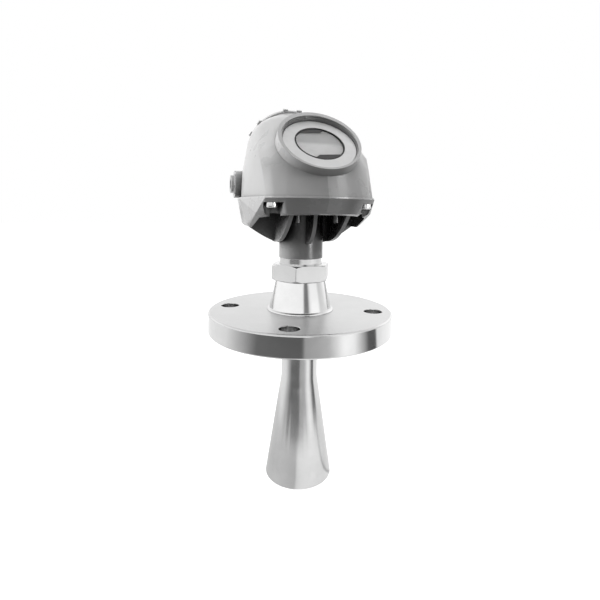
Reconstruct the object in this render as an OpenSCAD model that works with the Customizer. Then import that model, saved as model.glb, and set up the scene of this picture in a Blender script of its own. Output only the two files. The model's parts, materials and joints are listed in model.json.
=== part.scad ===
// Radar level transmitter with a cone antenna, a flanged process connection and a swivelling head.
// Millimetres, +Z up. The origin is the centre of the flange's lower face, and the
// display of the head looks along -Y.

/* [Process flange] */
// Outside diameter of the flange
flange_od = 190.5; // [175:0.5:230]
// Thickness of the flange above its raised face
flange_t = 20.7; // [16:0.1:40]
// Chamfer on the rim of the flange
flange_chamfer = 1.2; // [0.4:0.1:3]
// Diameter of the raised sealing face
raised_face_od = 127; // [90:1:130]
// Height of the raised sealing face
raised_face_h = 1.6; // [0.5:0.1:3]
// Diameter of the bolt circle
bolt_circle = 152.4; // [150:0.1:155]
// Number of bolt holes
bolt_count = 4; // [4:4:8]
// Diameter of a bolt hole
bolt_hole_d = 19.05; // [12:0.05:20]
// Turn of the first bolt hole from the front of the head, to the left
bolt_turn = 23; // [0:1:45]

/* [Hub] */
// Diameter of the hub at its foot
hub_foot_d = 66; // [60:0.5:80]
// Diameter of the hub at its top
hub_top_d = 52; // [52:0.5:58]
// Height of the hub's cone above the flange
hub_h = 31; // [24:0.5:50]
// Radius of the weld bead round the hub's foot
bead_r = 2; // [1:0.1:3]
// Diameter of the hub's root inside the flange
hub_root_d = 46; // [44:0.5:56]
// Diameter of the threaded spigot on the hub
spigot_d = 50; // [49.6:0.1:51]
// Height of the threaded spigot
spigot_h = 8; // [7:0.1:12]

/* [Cone antenna] */
// Outside diameter of the antenna's straight tube
tube_od = 37.8; // [34:0.1:40]
// Wall thickness of the antenna
antenna_wall = 1.6; // [1:0.1:2.5]
// Outside diameter of the antenna's mouth
mouth_od = 67.5; // [50:0.5:90]
// Reach of the antenna below the flange
antenna_reach = 148.8; // [100:0.2:300]
// Length of the flared part of the antenna
flare_len = 99.5; // [60:0.5:140]
// How far the tube is let into the hub
tube_insert = 13; // [8:0.5:20]

/* [Process seal] */
// Thickness of the seal's disc
seal_disc_t = 10; // [7:0.5:16]
// Length of the seal's cone below its disc
seal_cone_len = 42; // [20:1:60]
// Radius of the seal's rounded tip
seal_tip_r = 4; // [2:0.5:8]
// Section diameter of the O-rings
o_ring_d = 2.6; // [1.8:0.1:3]

/* [Lock nut] */
// Width of the nut across its flats
nut_flats = 56; // [54:0.5:62]
// Chamfer of the nut's corners, measured down from each face
nut_chamfer = 2.4; // [1:0.1:4]
// Thickness of the lip that bears on the slip washer
nut_lip_t = 4; // [2.5:0.1:6]
// Gap between the nut and the hub when the nut is tight
nut_gap = 0.4; // [0.3:0.1:1]
// Thickness of the slip washer under the nut's lip
washer_t = 1.2; // [0.8:0.1:2]
// Angle between a corner of the nut and the front of the head
nut_turn = 24; // [0:1:60]

/* [Swivel adapter] */
// Diameter of the bright collar above the nut
collar_d = 44; // [40:0.1:45]
// Height of the collar above the nut
collar_h = 6.4; // [6.4:0.1:12]
// Thickness of the adapter's flange inside the nut
adapter_flange_t = 3.8; // [2.5:0.1:6]
// Diameter of the adapter's stem inside the neck
stem_d = 36; // [30:0.5:38]
// Length of the adapter's stem
stem_len = 20; // [10:0.5:40]
// Outside diameter of the waveguide
waveguide_od = 21.4; // [16:0.1:24]
// Bore of the waveguide
waveguide_bore = 16; // [10:0.1:18]

/* [Base casting] */
// Outside diameter of the neck
neck_d = 46; // [44:0.5:52]
// Height from the foot of the neck to the seam of the head
base_h = 61.6; // [58:0.2:80]
// Half width of the head between its front corners
corner_x = 52.3; // [48:0.1:58]
// Distance from the axis to the front corners
corner_y = 65.8; // [63:0.1:72]
// Distance from the axis to the nose of the front
nose_y = 86.3; // [82:0.1:92]
// Greatest half width of the base
side_x = 66.5; // [62:0.5:74]
// Height of the front band under the seam
band_h = 15.4; // [14:0.2:20]
// Drop from the seam to the lowest point of the side cheeks
cheek_drop = 29.3; // [24:0.1:34]
// Half width of the base at the lowest point of the cheeks
cheek_x = 57; // [54:0.5:60]
// Radius of the cheeks' lower edge
cheek_r = 6; // [3:0.5:8]
// Wall thickness of the base
base_wall = 4; // [3:0.5:5]
// Thickness of the plate under the seam
plate_t = 7; // [6:0.5:9]
// Thickness of a rib
rib_t = 3.8; // [2:0.1:6]
// Spacing of the ribs
rib_pitch = 27.5; // [25:0.5:32]
// Height of the neck that the ribs leave bare
bare_neck = 15.6; // [10:0.2:20]

/* [Head shell] */
// Wall thickness of the shell
shell_wall = 4.5; // [3:0.1:6]
// Thickness of the flange inside the shell's foot
foot_t = 6; // [4:0.5:8]
// Height of the shoulder above the seam
shoulder_h = 28; // [22:0.5:32]
// Height of the haunch above the seam, between the shoulder and the crown
haunch_h = 40; // [36:0.5:44]
// Height of the crown's centre above the seam
crown_h = 49; // [44:0.5:56]
// Radius of the crown
crown_r = 38; // [32:0.5:42]
// Half of the distance between the two rounds of the crown
crown_x = 20; // [12:0.5:24]
// Distance of the crown's centre behind the axis
crown_y = 4; // [0:0.5:8]
// Setback of the shell from the edge of the base
shell_setback = 1.3; // [0.5:0.1:4]
// Further setback of the shell at its sides
side_setback = 2.2; // [0:0.1:5]

/* [Display] */
// Tilt of the display's axis above the horizontal
display_tilt = 44; // [36:1:52]
// Distance of the display's centre in front of the axis
display_y = 58.4; // [54:0.2:64]
// Height of the display's centre above the seam
display_h = 50; // [46:0.5:56]
// Radius of the round boss that holds the display
display_boss_r = 39.3; // [39:0.1:42]
// How far the boss lies above the centre of the display
display_boss_up = 2.3; // [0:0.1:2.6]
// Radius of the recess for the label ring
recess_r = 35.6; // [32:0.1:35.8]
// Radius of the window
window_r = 22.9; // [18:0.1:26]
// Height of the boss's rim at the foot of the display
rim_low = 0.8; // [0.4:0.1:2]
// Height of the boss's rim at the top of the display
rim_high = 5.6; // [2:0.1:7]
// Thickness of the label ring
label_ring_t = 2; // [1:0.1:3]
// Thickness of the window
window_t = 5; // [4:0.1:6]

/* [Terminal cover] */
// Tilt of the cover's axis above the horizontal
cover_tilt = 30; // [25:1:35]
// Distance of the cover's seat behind the axis
cover_y = 65; // [62:0.5:70]
// Height of the cover's seat above the seam
cover_h = 60.5; // [58:0.5:64]
// Radius of the round boss under the cover
cover_boss_r = 46.4; // [45.5:0.1:48]
// Radius of the cover's rim
cover_rim_r = 48; // [46.5:0.1:50]
// Thickness of the cover's rim
cover_rim_t = 6; // [4:0.5:10]
// Height of the cover's crown above its rim
cover_crown_h = 7; // [4:0.5:12]
// Radius of the cover's thread
cover_thread_r = 42; // [40:0.1:42.4]
// Length of the cover's thread
cover_thread_len = 11; // [9:0.5:12]
// Number of lugs round the cover
lug_count = 6; // [4:1:8]
// How far a lug stands out of the rim
lug_out = 1.2; // [1:0.1:4]
// Width of a lug
lug_w = 22; // [14:0.5:24]
// Width of the tool slot in a lug
lug_slot_w = 11; // [6:0.5:12]

/* [Conduit entries] */
// Radius of a conduit boss
conduit_boss_r = 14.7; // [13.5:0.1:16]
// Distance of the conduit axis behind the neck's axis
conduit_y = 29; // [26:0.5:32]
// Distance from the middle of the head to the face of a conduit boss
conduit_x = 68; // [66:0.5:76]
// Radius of the threaded conduit hole
conduit_hole_r = 10.6; // [9:0.1:11]
// Length of the threaded conduit hole
conduit_hole_len = 18; // [14:0.5:20]

/* [Screws] */
// Distance of the corner screws from the middle of the head
screw_x = 45; // [43:0.1:45.2]
// Distance of the corner screws in front of the axis and behind it
screw_y = 61.5; // [60:0.1:63]
// Drop from the seam to the ceiling of a screw pocket
pocket_drop = 5.5; // [5:0.1:7]
// Width of a screw pocket
pocket_w = 15.4; // [13:0.1:16]
// Diameter of a corner screw's head
screw_head_d = 10.7; // [9:0.1:12]
// Height of a corner screw's head
screw_head_h = 5; // [4:0.1:6]
// Diameter of a corner screw's shank
screw_d = 6; // [4:0.1:6]
// Length of a corner screw under its head
screw_len = 13; // [12:0.5:14]

/* [Clearances] */
// Radial clearance of a part that turns in another
run_fit = 0.08; // [0.03:0.01:0.1]
// Radial gap between parts that don't bear on each other
free_gap = 0.3; // [0.3:0.05:0.6]

/* [Hidden] */

FINE = 96;        // facets of the large round forms
COARSE = 48;      // facets of the rounded shell
ARC_STEPS = 12;   // steps of a curved outline
THIN = 0.01;      // thickness of a section that a hull joins
PAST = 1;         // how far a cut runs past the face it opens

// Heights of the stack, from the flange's lower face up
z_hub_top = flange_t + hub_h;
z_spigot_top = z_hub_top + spigot_h;
z_washer = z_spigot_top + adapter_flange_t;
z_lip = z_washer + washer_t;
z_nut_low = z_hub_top + nut_gap;
z_nut_top = z_lip + nut_lip_t;
z_neck = z_nut_top + collar_h;
z_seam = z_neck + base_h;
z_band = z_seam - band_h;
z_ceiling = z_seam - plate_t;
z_rib = z_neck + bare_neck;
z_cheek = z_seam - cheek_drop;
z_pocket = z_seam - pocket_drop;

// Lower edge of the base's front band, whose corners lie further out and back than the seam's
band_x = corner_x + 4.7;
band_y = corner_y - 18.3;
band_nose_y = nose_y - 8;
// Middle of the cheeks' round lower edge, and where the web across the head ends in it
cheek_round_x = cheek_x - 2;
cheek_half = 16;
z_web_end = z_cheek + 0.6;

nut_bore_d = spigot_d + 2 * run_fit;
adapter_flange_d = nut_bore_d - 2 * free_gap;
hub_counterbore_d = tube_od + 2 * run_fit;
waveguide_hole_d = waveguide_od + 2 * free_gap;
seal_top = tube_insert + seal_disc_t;
display_centre = [0, -display_y, z_seam + display_h];
cover_centre = [0, cover_y, z_seam + cover_h];
conduit_z = z_seam + conduit_boss_r + 0.4;
cover_bore_r = cover_thread_r + run_fit;
plug_neck_r = conduit_hole_r - 2.5;
plug_washer_t = 1;
display_stand = 8;
display_draft = 1.8;
board_depth = 28;
lcd_t = 1.4;
module_r = window_r - 1.2;
module_t = 7;
board_t = 1.6;
ground_pad_r = 8.5;
ground_pad_h = 9;
ground_screw_r = 2.5;
ground_clamp_t = 1.6;
partition_depth = 65.5;
block_size = [52, 30, 16];
terminal_pitch = 14;
terminal_screw_r = 2;
clamp_drop = 7;
clamp_t = 2;
clamp_y = -4;
block_screw_r = 1.5;
partition_t = 4;
gasket_w = 3;
gasket_t = 1.2;

// Front edge of a plan outline: an arc through both corners and the nose
function front_arc(cx, cy, ny) =
    let (rise = ny - cy, r = (cx * cx + rise * rise) / (2 * rise), half = asin(cx / r))
    [for (i = [0 : ARC_STEPS])
        let (t = half * (2 * i / ARC_STEPS - 1)) [r * sin(t), r - ny - r * cos(t)]];

// Plan of the head, the same in front and behind
module plan(cx, cy, ny, sx, flat = 8) {
    front = front_arc(cx, cy, ny);
    polygon(concat(front, [[sx, -flat], [sx, flat]], [for (p = front) -p],
        [[-sx, flat], [-sx, -flat]]));
}

module slab(z, t, cx, cy, ny, sx) {
    translate([0, 0, z]) linear_extrude(t) plan(cx, cy, ny, sx);
}

// A ring with the given inner and outer radius, standing on z = 0
module ring(inner_r, outer_r, h) {
    difference() {
        cylinder(r = outer_r, h = h, $fn = FINE);
        translate([0, 0, -PAST]) cylinder(r = inner_r, h = h + 2 * PAST, $fn = FINE);
    }
}

// Slot across a screw's head that stands on z = 0
module screw_slot(head_r, head_h) {
    slot_w = 1.2;
    slot_depth = 1.2;
    translate([-head_r - PAST, -slot_w / 2, head_h - slot_depth])
        cube([2 * (head_r + PAST), slot_w, slot_depth + PAST]);
}

module o_ring(r, section_d) {
    rotate_extrude($fn = FINE) translate([r, 0]) circle(d = section_d, $fn = 24);
}

// Frames of the display and of the cover: their own +Z points out of the head
module at_display() {
    translate(display_centre) rotate([90 - display_tilt, 0, 0]) children();
}

module at_cover() {
    translate(cover_centre) rotate([cover_tilt - 90, 0, 0]) children();
}

// Frame of each corner screw: the ceiling of its pocket, with +Z up and -Y out of the head
module at_corner_screws() {
    for (side = [-1, 1], end = [0, 1])
        rotate(180 * end) translate([side * screw_x, -screw_y, z_pocket]) children();
}

// Frame of a conduit entry: +Z points out of the head
module at_conduit(side) {
    translate([side * conduit_x, conduit_y, conduit_z]) rotate([0, side * 90, 0]) children();
}

// --- Process connection ---------------------------------------------------------------------

module process_flange() {
    rim_r = flange_od / 2;
    color("gainsboro") difference() {
        rotate_extrude($fn = FINE) polygon([
            [hub_root_d / 2 + run_fit, -raised_face_h], [raised_face_od / 2, -raised_face_h],
            [raised_face_od / 2, 0], [rim_r - flange_chamfer, 0], [rim_r, flange_chamfer],
            [rim_r, flange_t - flange_chamfer], [rim_r - flange_chamfer, flange_t],
            [hub_root_d / 2 + run_fit, flange_t]]);
        for (i = [0 : bolt_count - 1])
            rotate(270 - bolt_turn + i * 360 / bolt_count) translate([bolt_circle / 2, 0, -PAST])
                cylinder(d = bolt_hole_d, h = flange_t + 2 * PAST, $fn = FINE);
    }
}

module hub_adapter() {
    groove_r = (waveguide_hole_d + spigot_d) / 4;
    color("silver") rotate_extrude($fn = FINE) difference() {
        union() {
            polygon([[0, -raised_face_h], [hub_root_d / 2, -raised_face_h], [hub_root_d / 2, flange_t],
                [hub_foot_d / 2, flange_t], [hub_top_d / 2, z_hub_top],
                [spigot_d / 2, z_hub_top], [spigot_d / 2, z_spigot_top], [0, z_spigot_top]]);
            intersection() {
                translate([hub_foot_d / 2, flange_t]) circle(r = bead_r, $fn = COARSE);
                translate([0, flange_t]) square([hub_foot_d, hub_h]);
            }
        }
        translate([-PAST, -raised_face_h - PAST])
            square([hub_counterbore_d / 2 + PAST, seal_top + raised_face_h + PAST]);
        translate([-PAST, 0]) square([waveguide_hole_d / 2 + PAST, z_spigot_top + PAST]);
        translate([groove_r - o_ring_d * 0.6, z_spigot_top - o_ring_d])
            square([o_ring_d * 1.2, o_ring_d + PAST]);
    }
}

// Straight tube that opens into a flare, seated in the hub
module antenna_cone() {
    tube_r = tube_od / 2;
    mouth_r = mouth_od / 2;
    flare_top = flare_len - antenna_reach;
    lean = atan((mouth_r - tube_r) / flare_len);
    wall_across = antenna_wall / cos(lean);
    color("lightgray") rotate_extrude($fn = FINE) polygon([
        [tube_r - antenna_wall, tube_insert], [tube_r, tube_insert], [tube_r, flare_top],
        [mouth_r, -antenna_reach], [mouth_r - wall_across, -antenna_reach],
        [tube_r - antenna_wall, flare_top]]);
}

// Disc with a cone below it, and a groove for its O-ring
module process_seal() {
    disc_r = hub_counterbore_d / 2 - free_gap;
    cone_r = tube_od / 2 - antenna_wall - free_gap;
    groove_r = hub_counterbore_d / 2 - o_ring_d - 2 * run_fit;
    color("white") rotate_extrude($fn = FINE) difference() {
        polygon([[0, seal_top], [disc_r, seal_top], [disc_r, tube_insert], [cone_r, tube_insert],
            [cone_r, tube_insert - seal_tip_r], [seal_tip_r, tube_insert - seal_cone_len],
            [0, tube_insert - seal_cone_len]]);
        translate([groove_r, tube_insert + (seal_disc_t - o_ring_d * 1.2) / 2])
            square([o_ring_d, o_ring_d * 1.2]);
    }
}

module seal_o_ring() {
    color("black") translate([0, 0, tube_insert + seal_disc_t / 2])
        o_ring(hub_counterbore_d / 2 - o_ring_d / 2 - run_fit, o_ring_d);
}

module swivel_o_ring() {
    section_d = o_ring_d - 0.1;
    color("black") translate([0, 0, z_spigot_top - o_ring_d + section_d / 2])
        o_ring((waveguide_hole_d + spigot_d) / 4, section_d);
}

// --- Swivel joint ---------------------------------------------------------------------------

module slip_washer() {
    color("white") translate([0, 0, z_washer])
        ring(collar_d / 2 + free_gap, nut_bore_d / 2 - free_gap, washer_t);
}

// Hexagon nut with its corners turned down at both faces
module lock_nut() {
    corner_r = nut_flats / 2 / cos(30);
    turned_r = corner_r - nut_chamfer * 1.2;
    height = z_nut_top - z_nut_low;
    color("silver") translate([0, 0, z_nut_low]) difference() {
        intersection() {
            rotate(270 - nut_turn) cylinder(r = corner_r, h = height, $fn = 6);
            rotate_extrude($fn = FINE) polygon([[0, 0], [turned_r, 0], [corner_r + PAST, nut_chamfer],
                [corner_r + PAST, height - nut_chamfer], [turned_r, height], [0, height]]);
        }
        translate([0, 0, -PAST]) cylinder(d = nut_bore_d, h = z_lip - z_nut_low + PAST, $fn = FINE);
        cylinder(r = collar_d / 2 + free_gap, h = height + PAST, $fn = FINE);
    }
}

module swivel_adapter() {
    bore_r = waveguide_od / 2 + run_fit;
    color("silver") rotate_extrude($fn = FINE) polygon([
        [bore_r, z_spigot_top], [adapter_flange_d / 2, z_spigot_top],
        [adapter_flange_d / 2, z_washer], [collar_d / 2, z_washer], [collar_d / 2, z_neck],
        [stem_d / 2, z_neck], [stem_d / 2, z_neck + stem_len], [bore_r, z_neck + stem_len]]);
}

module waveguide() {
    low = seal_top + free_gap;
    color("peru") translate([0, 0, low])
        ring(waveguide_bore / 2, waveguide_od / 2, z_seam + PAST - low);
}

// --- Base casting ---------------------------------------------------------------------------

// Lower edge of the web across the head, from the neck out to a cheek
function web_z(x) =
    let (share = (x - neck_d / 2) / (cheek_x - neck_d / 2))
    z_rib + (z_web_end - z_rib) * pow(max(share, 0), 1.42);

// Lower edge of an outer rib, from the web out to the band
function outer_rib_z(y, reach) =
    let (start = web_z(rib_pitch)) start + (z_band - start) * pow(y / reach, 2.3);

module base_outside() {
    lip = 1.8;
    draw_in = shell_setback / 2;
    hull() {
        slab(z_seam - THIN, THIN, corner_x - draw_in, corner_y - draw_in, nose_y - draw_in,
            side_x - draw_in);
        slab(z_seam - lip, THIN, corner_x, corner_y, nose_y, side_x);
        slab(z_band, THIN, band_x, band_y, band_nose_y, cheek_x + 5);
        for (side = [-1, 1], end = [-1, 1])
            translate([side * cheek_round_x, end * cheek_half, z_cheek + cheek_r])
                sphere(r = cheek_r, $fn = 32);
    }
}

// Solid round the screw pockets at the corners
module pocket_posts(r) {
    at_corner_screws() translate([0, 0, z_band - z_pocket])
        cylinder(r = r, h = z_pocket - z_band + plate_t, $fn = COARSE);
}

module base_ribs() {
    reach = corner_y - 1;
    root = reach + 3;
    middle_reach = reach - 16;
    neck_r = neck_d / 2;
    web_half = [for (i = [0 : ARC_STEPS])
        let (x = neck_r + (cheek_x - neck_r) * i / ARC_STEPS) [x, web_z(x)]];
    outer_rib = [for (i = [0 : ARC_STEPS])
        let (y = reach * i / ARC_STEPS) [y, outer_rib_z(y, reach)]];
    middle_rib = [for (i = [0 : ARC_STEPS]) let (t = 90 * i / ARC_STEPS)
        [neck_r + (middle_reach - neck_r) * sin(t), z_band - (z_band - z_rib) * cos(t)]];
    // Web across the head
    rotate([90, 0, 0]) translate([0, 0, -rib_t / 2]) linear_extrude(rib_t)
        for (side = [0, 1]) mirror([side, 0])
            polygon(concat(web_half, [[cheek_x, z_ceiling + THIN], [0, z_ceiling + THIN], [0, z_rib]]));
    // Ribs from front to back
    rotate([90, 0, 90]) for (end = [0, 1]) mirror([end, 0, 0]) {
        for (x = [-rib_pitch, rib_pitch]) translate([0, 0, x - rib_t / 2]) linear_extrude(rib_t)
            polygon(concat(outer_rib, [[root, z_band], [root, z_ceiling + THIN], [0, z_ceiling + THIN]]));
        translate([0, 0, -rib_t / 2]) linear_extrude(rib_t)
            polygon(concat(middle_rib,
                [[middle_reach, z_ceiling + THIN], [0, z_ceiling + THIN], [0, z_rib]]));
    }
}

module base_casting() {
    room_x = cheek_x - 0.5;
    pocket_r = pocket_w / 2;
    pocket_wall = 2.5;
    pocket_h = z_pocket - z_cheek + PAST;
    pocket_run = 30;
    stud_r = 2.7;
    stud_below_band = 8.5;
    stud_h = z_ceiling - z_band + stud_below_band;
    stud_x = rib_pitch - 8.5;
    stud_y = corner_y - 13.2;
    hole_depth = 7;
    color("dimgray") difference() {
        union() {
            difference() {
                base_outside();
                difference() {
                    translate([0, 0, z_rib - PAST]) linear_extrude(z_ceiling - z_rib + PAST)
                        plan(band_x - base_wall, band_y - base_wall, band_nose_y - base_wall, room_x);
                    pocket_posts(pocket_r + pocket_wall);
                }
            }
            base_ribs();
            translate([0, 0, z_neck]) cylinder(d = neck_d, h = z_ceiling - z_neck + THIN, $fn = FINE);
            for (side = [-1, 1], end = [-1, 1])
                translate([side * stud_x, end * stud_y, z_ceiling + THIN - stud_h])
                    cylinder(r = stud_r, h = stud_h, $fn = COARSE);
            at_ground() translate([0, 0, -ground_pad_h])
                cylinder(r = ground_pad_r, h = ground_pad_h, $fn = COARSE);
        }
        // Bore for the adapter's stem and for the waveguide
        translate([0, 0, z_neck - PAST])
            cylinder(r = stem_d / 2 + run_fit, h = stem_len + free_gap + PAST, $fn = FINE);
        translate([0, 0, z_neck]) cylinder(d = waveguide_hole_d, h = base_h + PAST, $fn = FINE);
        // Groove for the gasket
        translate([0, 0, z_seam - gasket_t]) gasket_path(gasket_t + PAST, free_gap);
        // Screw pockets, open below and in front, and the screw holes
        at_corner_screws() {
            translate([0, 0, -pocket_h]) cylinder(r = pocket_r, h = pocket_h, $fn = COARSE);
            translate([-pocket_r, -pocket_run, -pocket_h]) cube([pocket_w, pocket_run, pocket_h]);
            cylinder(r = screw_d / 2 + free_gap, h = screw_len, $fn = COARSE);
        }
        // Threaded hole of the ground screw
        at_ground() translate([0, 0, -hole_depth])
            cylinder(r = ground_screw_r + run_fit, h = hole_depth + PAST, $fn = COARSE);
    }
}

// --- Head shell -----------------------------------------------------------------------------

// The rounded form of the shell, drawn in by an inset
module shell_form(inset, floor_z) {
    side = side_x - shell_setback - inset;
    front = nose_y - shell_setback - inset;
    corner = corner_x - shell_setback - inset;
    corner_back = corner_y - shell_setback - inset;
    shoulder = [corner + 1.5, corner_back - 12.5, front - 8, side - side_setback - 1];
    haunch = [corner + 3.5, corner_back - 22, front - 26, side - side_setback - 3.5];
    hull() {
        slab(floor_z, THIN, corner, corner_back, front, side - side_setback);
        slab(z_seam + shoulder_h, THIN, shoulder[0], shoulder[1], shoulder[2], shoulder[3]);
        slab(z_seam + haunch_h, THIN, haunch[0], haunch[1], haunch[2], haunch[3]);
        for (end = [-1, 1]) translate([end * crown_x, crown_y, z_seam + crown_h])
            sphere(r = crown_r - inset, $fn = COARSE);
        at_display() translate([0, display_boss_up, -display_stand - inset])
            cylinder(r = display_boss_r + display_draft - inset, h = THIN, $fn = COARSE);
    }
}

// Plan inside the line of the corner screws
module inner_plan(inset) {
    screw_room = 17;
    side_room = 9;
    plan(corner_x - screw_room - inset, corner_y - screw_room - inset, nose_y - screw_room - inset,
        side_x - side_room - inset);
}

// Ring between the base and the shell, inside the line of the corner screws
module gasket_path(t, spare) {
    linear_extrude(t) difference() {
        inner_plan(-spare);
        inner_plan(gasket_w + spare);
    }
}

module head_gasket() {
    color("black") translate([0, 0, z_seam - gasket_t]) gasket_path(gasket_t, 0);
}

module conduit_boss() {
    translate([0, 0, -conduit_hole_len]) cylinder(r = conduit_boss_r, h = conduit_hole_len, $fn = FINE);
}

// Round boss of the display, with a rim that rises to a hood at its top
module display_boss() {
    rise = atan((rim_high - rim_low) / (2 * display_boss_r));
    depth = 18;
    size = 4 * display_boss_r;
    at_display() translate([0, display_boss_up, 0]) difference() {
        translate([0, 0, -depth])
            cylinder(r1 = display_boss_r + display_draft, r2 = display_boss_r,
                h = depth + 2 * rim_high, $fn = FINE);
        translate([0, -display_boss_r, rim_low]) rotate([rise, 0, 0])
            translate([-size / 2, -size / 2, 0]) cube([size, 2 * size, size]);
    }
}

// Inside of the shell: two rooms, with the wall between them and the screw posts left standing
module shell_rooms() {
    thread_post_r = screw_d / 2 + 3.5;
    room_back = 17;
    difference() {
        shell_form(shell_wall, z_seam + foot_t);
        at_cover() translate([-side_x, -side_x, -partition_depth - partition_t])
            cube([2 * side_x, 2 * side_x, partition_t]);
        at_corner_screws() cylinder(r = thread_post_r, h = screw_len + partition_t, $fn = COARSE);
        for (side = [-1, 1]) at_conduit(side) conduit_boss();
    }
    // Opening of the front room to the base
    translate([0, 0, z_seam - PAST]) linear_extrude(foot_t + 2 * PAST) intersection() {
        inner_plan(2 * gasket_w);
        translate([-side_x, -nose_y]) square([2 * side_x, nose_y + room_back]);
    }
}

module head_shell() {
    hole_r = window_r - 0.9;
    hole_len = 20;
    cover_boss_len = 32;
    cover_bore_len = 30;
    step_h = rim_high / 3.2;
    step_w = 0.7;
    screw_hole_len = 3.2;
    tap_spare = 0.5;
    color("darkgray") difference() {
        union() {
            shell_form(0, z_seam);
            at_cover() translate([0, 0, -cover_boss_len])
                cylinder(r = cover_boss_r, h = cover_boss_len, $fn = FINE);
            for (side = [-1, 1]) at_conduit(side) conduit_boss();
            display_boss();
        }
        shell_rooms();
        // Mouth of the terminal room under the cover
        at_cover() translate([0, 0, -cover_bore_len])
            cylinder(r = cover_bore_r, h = cover_bore_len + PAST, $fn = FINE);
        // Stepped recess of the label ring, window seat and opening
        at_display() {
            translate([0, 0, -label_ring_t]) cylinder(r = recess_r, h = 4 * rim_high, $fn = FINE);
            for (step = [1, 2]) translate([0, 0, step * step_h])
                cylinder(r = recess_r + step * step_w, h = 4 * rim_high, $fn = FINE);
            translate([0, 0, -window_t]) cylinder(r = window_r + 1, h = window_t, $fn = FINE);
            translate([0, 0, -hole_len]) cylinder(r = hole_r, h = hole_len, $fn = FINE);
        }
        // Conduit holes
        for (side = [-1, 1]) at_conduit(side) translate([0, 0, -conduit_hole_len - PAST])
            cylinder(r = conduit_hole_r, h = conduit_hole_len + 2 * PAST, $fn = FINE);
        // Threaded holes of the corner screws and of the terminal block's screws
        at_corner_screws() cylinder(r = screw_d / 2 + run_fit, h = screw_len + tap_spare, $fn = COARSE);
        at_block_screws() translate([0, 0, -screw_hole_len])
            cylinder(r = block_screw_r + run_fit, h = screw_hole_len + PAST, $fn = COARSE);
    }
}

// Socket-head screws with a rounded lower edge, put in from below
module corner_screws() {
    socket_d = screw_head_d * 0.5;
    edge = 1.6;
    color("gainsboro") at_corner_screws() difference() {
        union() {
            rotate_extrude($fn = COARSE) {
                translate([0, edge - screw_head_h]) square([screw_head_d / 2, screw_head_h - edge]);
                translate([0, -screw_head_h]) square([screw_head_d / 2 - edge, edge + THIN]);
                intersection() {
                    translate([screw_head_d / 2 - edge, edge - screw_head_h])
                        circle(r = edge, $fn = COARSE);
                    translate([0, -screw_head_h]) square([screw_head_d / 2, edge + THIN]);
                }
            }
            cylinder(d = screw_d, h = screw_len, $fn = COARSE);
        }
        translate([0, 0, -screw_head_h - PAST])
            cylinder(d = socket_d, h = screw_head_h * 0.6 + PAST, $fn = 6);
    }
}

// --- Display --------------------------------------------------------------------------------

module label_ring() {
    color("lightgray") at_display() translate([0, 0, -label_ring_t])
        ring(window_r + 1, recess_r - 0.5, label_ring_t);
}

module window_gasket() {
    color("black") at_display() translate([0, 0, -window_t])
        ring(window_r + run_fit, window_r + 1 - run_fit, window_t);
}

module display_window() {
    color("lightblue") at_display() translate([0, 0, -window_t])
        cylinder(r = window_r, h = window_t - 0.4, $fn = FINE);
}

// Picture field of the display, between two straight edges
module lcd_screen() {
    half_h = 14.5;
    color("lightsteelblue") at_display() translate([0, 0, -window_t - lcd_t]) linear_extrude(lcd_t - 0.2)
        intersection() {
            circle(r = module_r, $fn = FINE);
            translate([-module_r, -half_h]) square([2 * module_r, 2 * half_h]);
        }
}

// Round holder of the screen
module display_module() {
    color("dimgray") at_display() translate([0, 0, -window_t - lcd_t - module_t])
        cylinder(r = module_r, h = module_t, $fn = FINE);
}

module electronics_board() {
    width = 62;
    height = 46;
    raised = 6;
    color("green") at_display() translate([-width / 2, -height / 2 + raised, -board_depth])
        cube([width, height, board_t]);
}

// Stand-offs between the display module and the board
module board_posts() {
    post_span = 13;
    post_r = 2;
    low = board_t - board_depth;
    high = -window_t - lcd_t - module_t;
    color("gold") at_display() for (x = [-post_span, post_span], y = [-post_span, post_span])
        translate([x, y, low]) cylinder(r = post_r, h = high - low, $fn = COARSE);
}

module radar_module() {
    width = corner_x * 0.84;
    front = 19;
    back = 10;
    height = shoulder_h - 16;
    color("silver") translate([0, 0, z_seam + PAST]) difference() {
        translate([-width / 2, -front, 0]) cube([width, front + back, height]);
        translate([0, 0, -PAST]) cylinder(d = waveguide_bore, h = height / 2 + PAST, $fn = FINE);
    }
}

// --- Terminal room --------------------------------------------------------------------------

// Frame of the terminal block: the middle of its foot on the wall between the rooms
module at_block() {
    block_up = 6;
    at_cover() translate([0, block_up, -partition_depth]) children();
}

module at_block_screws() {
    end_edge = 4.5;
    top_edge = 4;
    at_block() for (side = [-1, 1])
        translate([side * (block_size[0] / 2 - end_edge), block_size[1] / 2 - top_edge, 0]) children();
}

module terminal_block() {
    slot_w = terminal_pitch - 4;
    slot_len = block_size[1] * 0.6;
    foot_y = -block_size[1] / 2;
    color("dimgray") difference() {
        at_block() difference() {
            translate([-block_size[0] / 2, foot_y, 0]) cube(block_size);
            for (i = [-1 : 1])
                translate([i * terminal_pitch - slot_w / 2, foot_y - PAST, block_size[2] - clamp_drop])
                    cube([slot_w, slot_len + PAST, clamp_drop + PAST]);
        }
        at_block_screws() translate([0, 0, -PAST])
            cylinder(r = block_screw_r + run_fit, h = block_size[2] + 2 * PAST, $fn = COARSE);
    }
}

module terminal_clamps() {
    clamp_w = terminal_pitch - 5;
    clamp_len = block_size[1] / 3;
    color("gold") at_block() for (i = [-1 : 1])
        translate([i * terminal_pitch, clamp_y, block_size[2] - clamp_drop]) difference() {
            translate([-clamp_w / 2, -clamp_len / 2, 0]) cube([clamp_w, clamp_len, clamp_t]);
            translate([0, 0, -PAST])
                cylinder(r = terminal_screw_r + run_fit, h = clamp_t + 2 * PAST, $fn = COARSE);
        }
}

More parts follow.
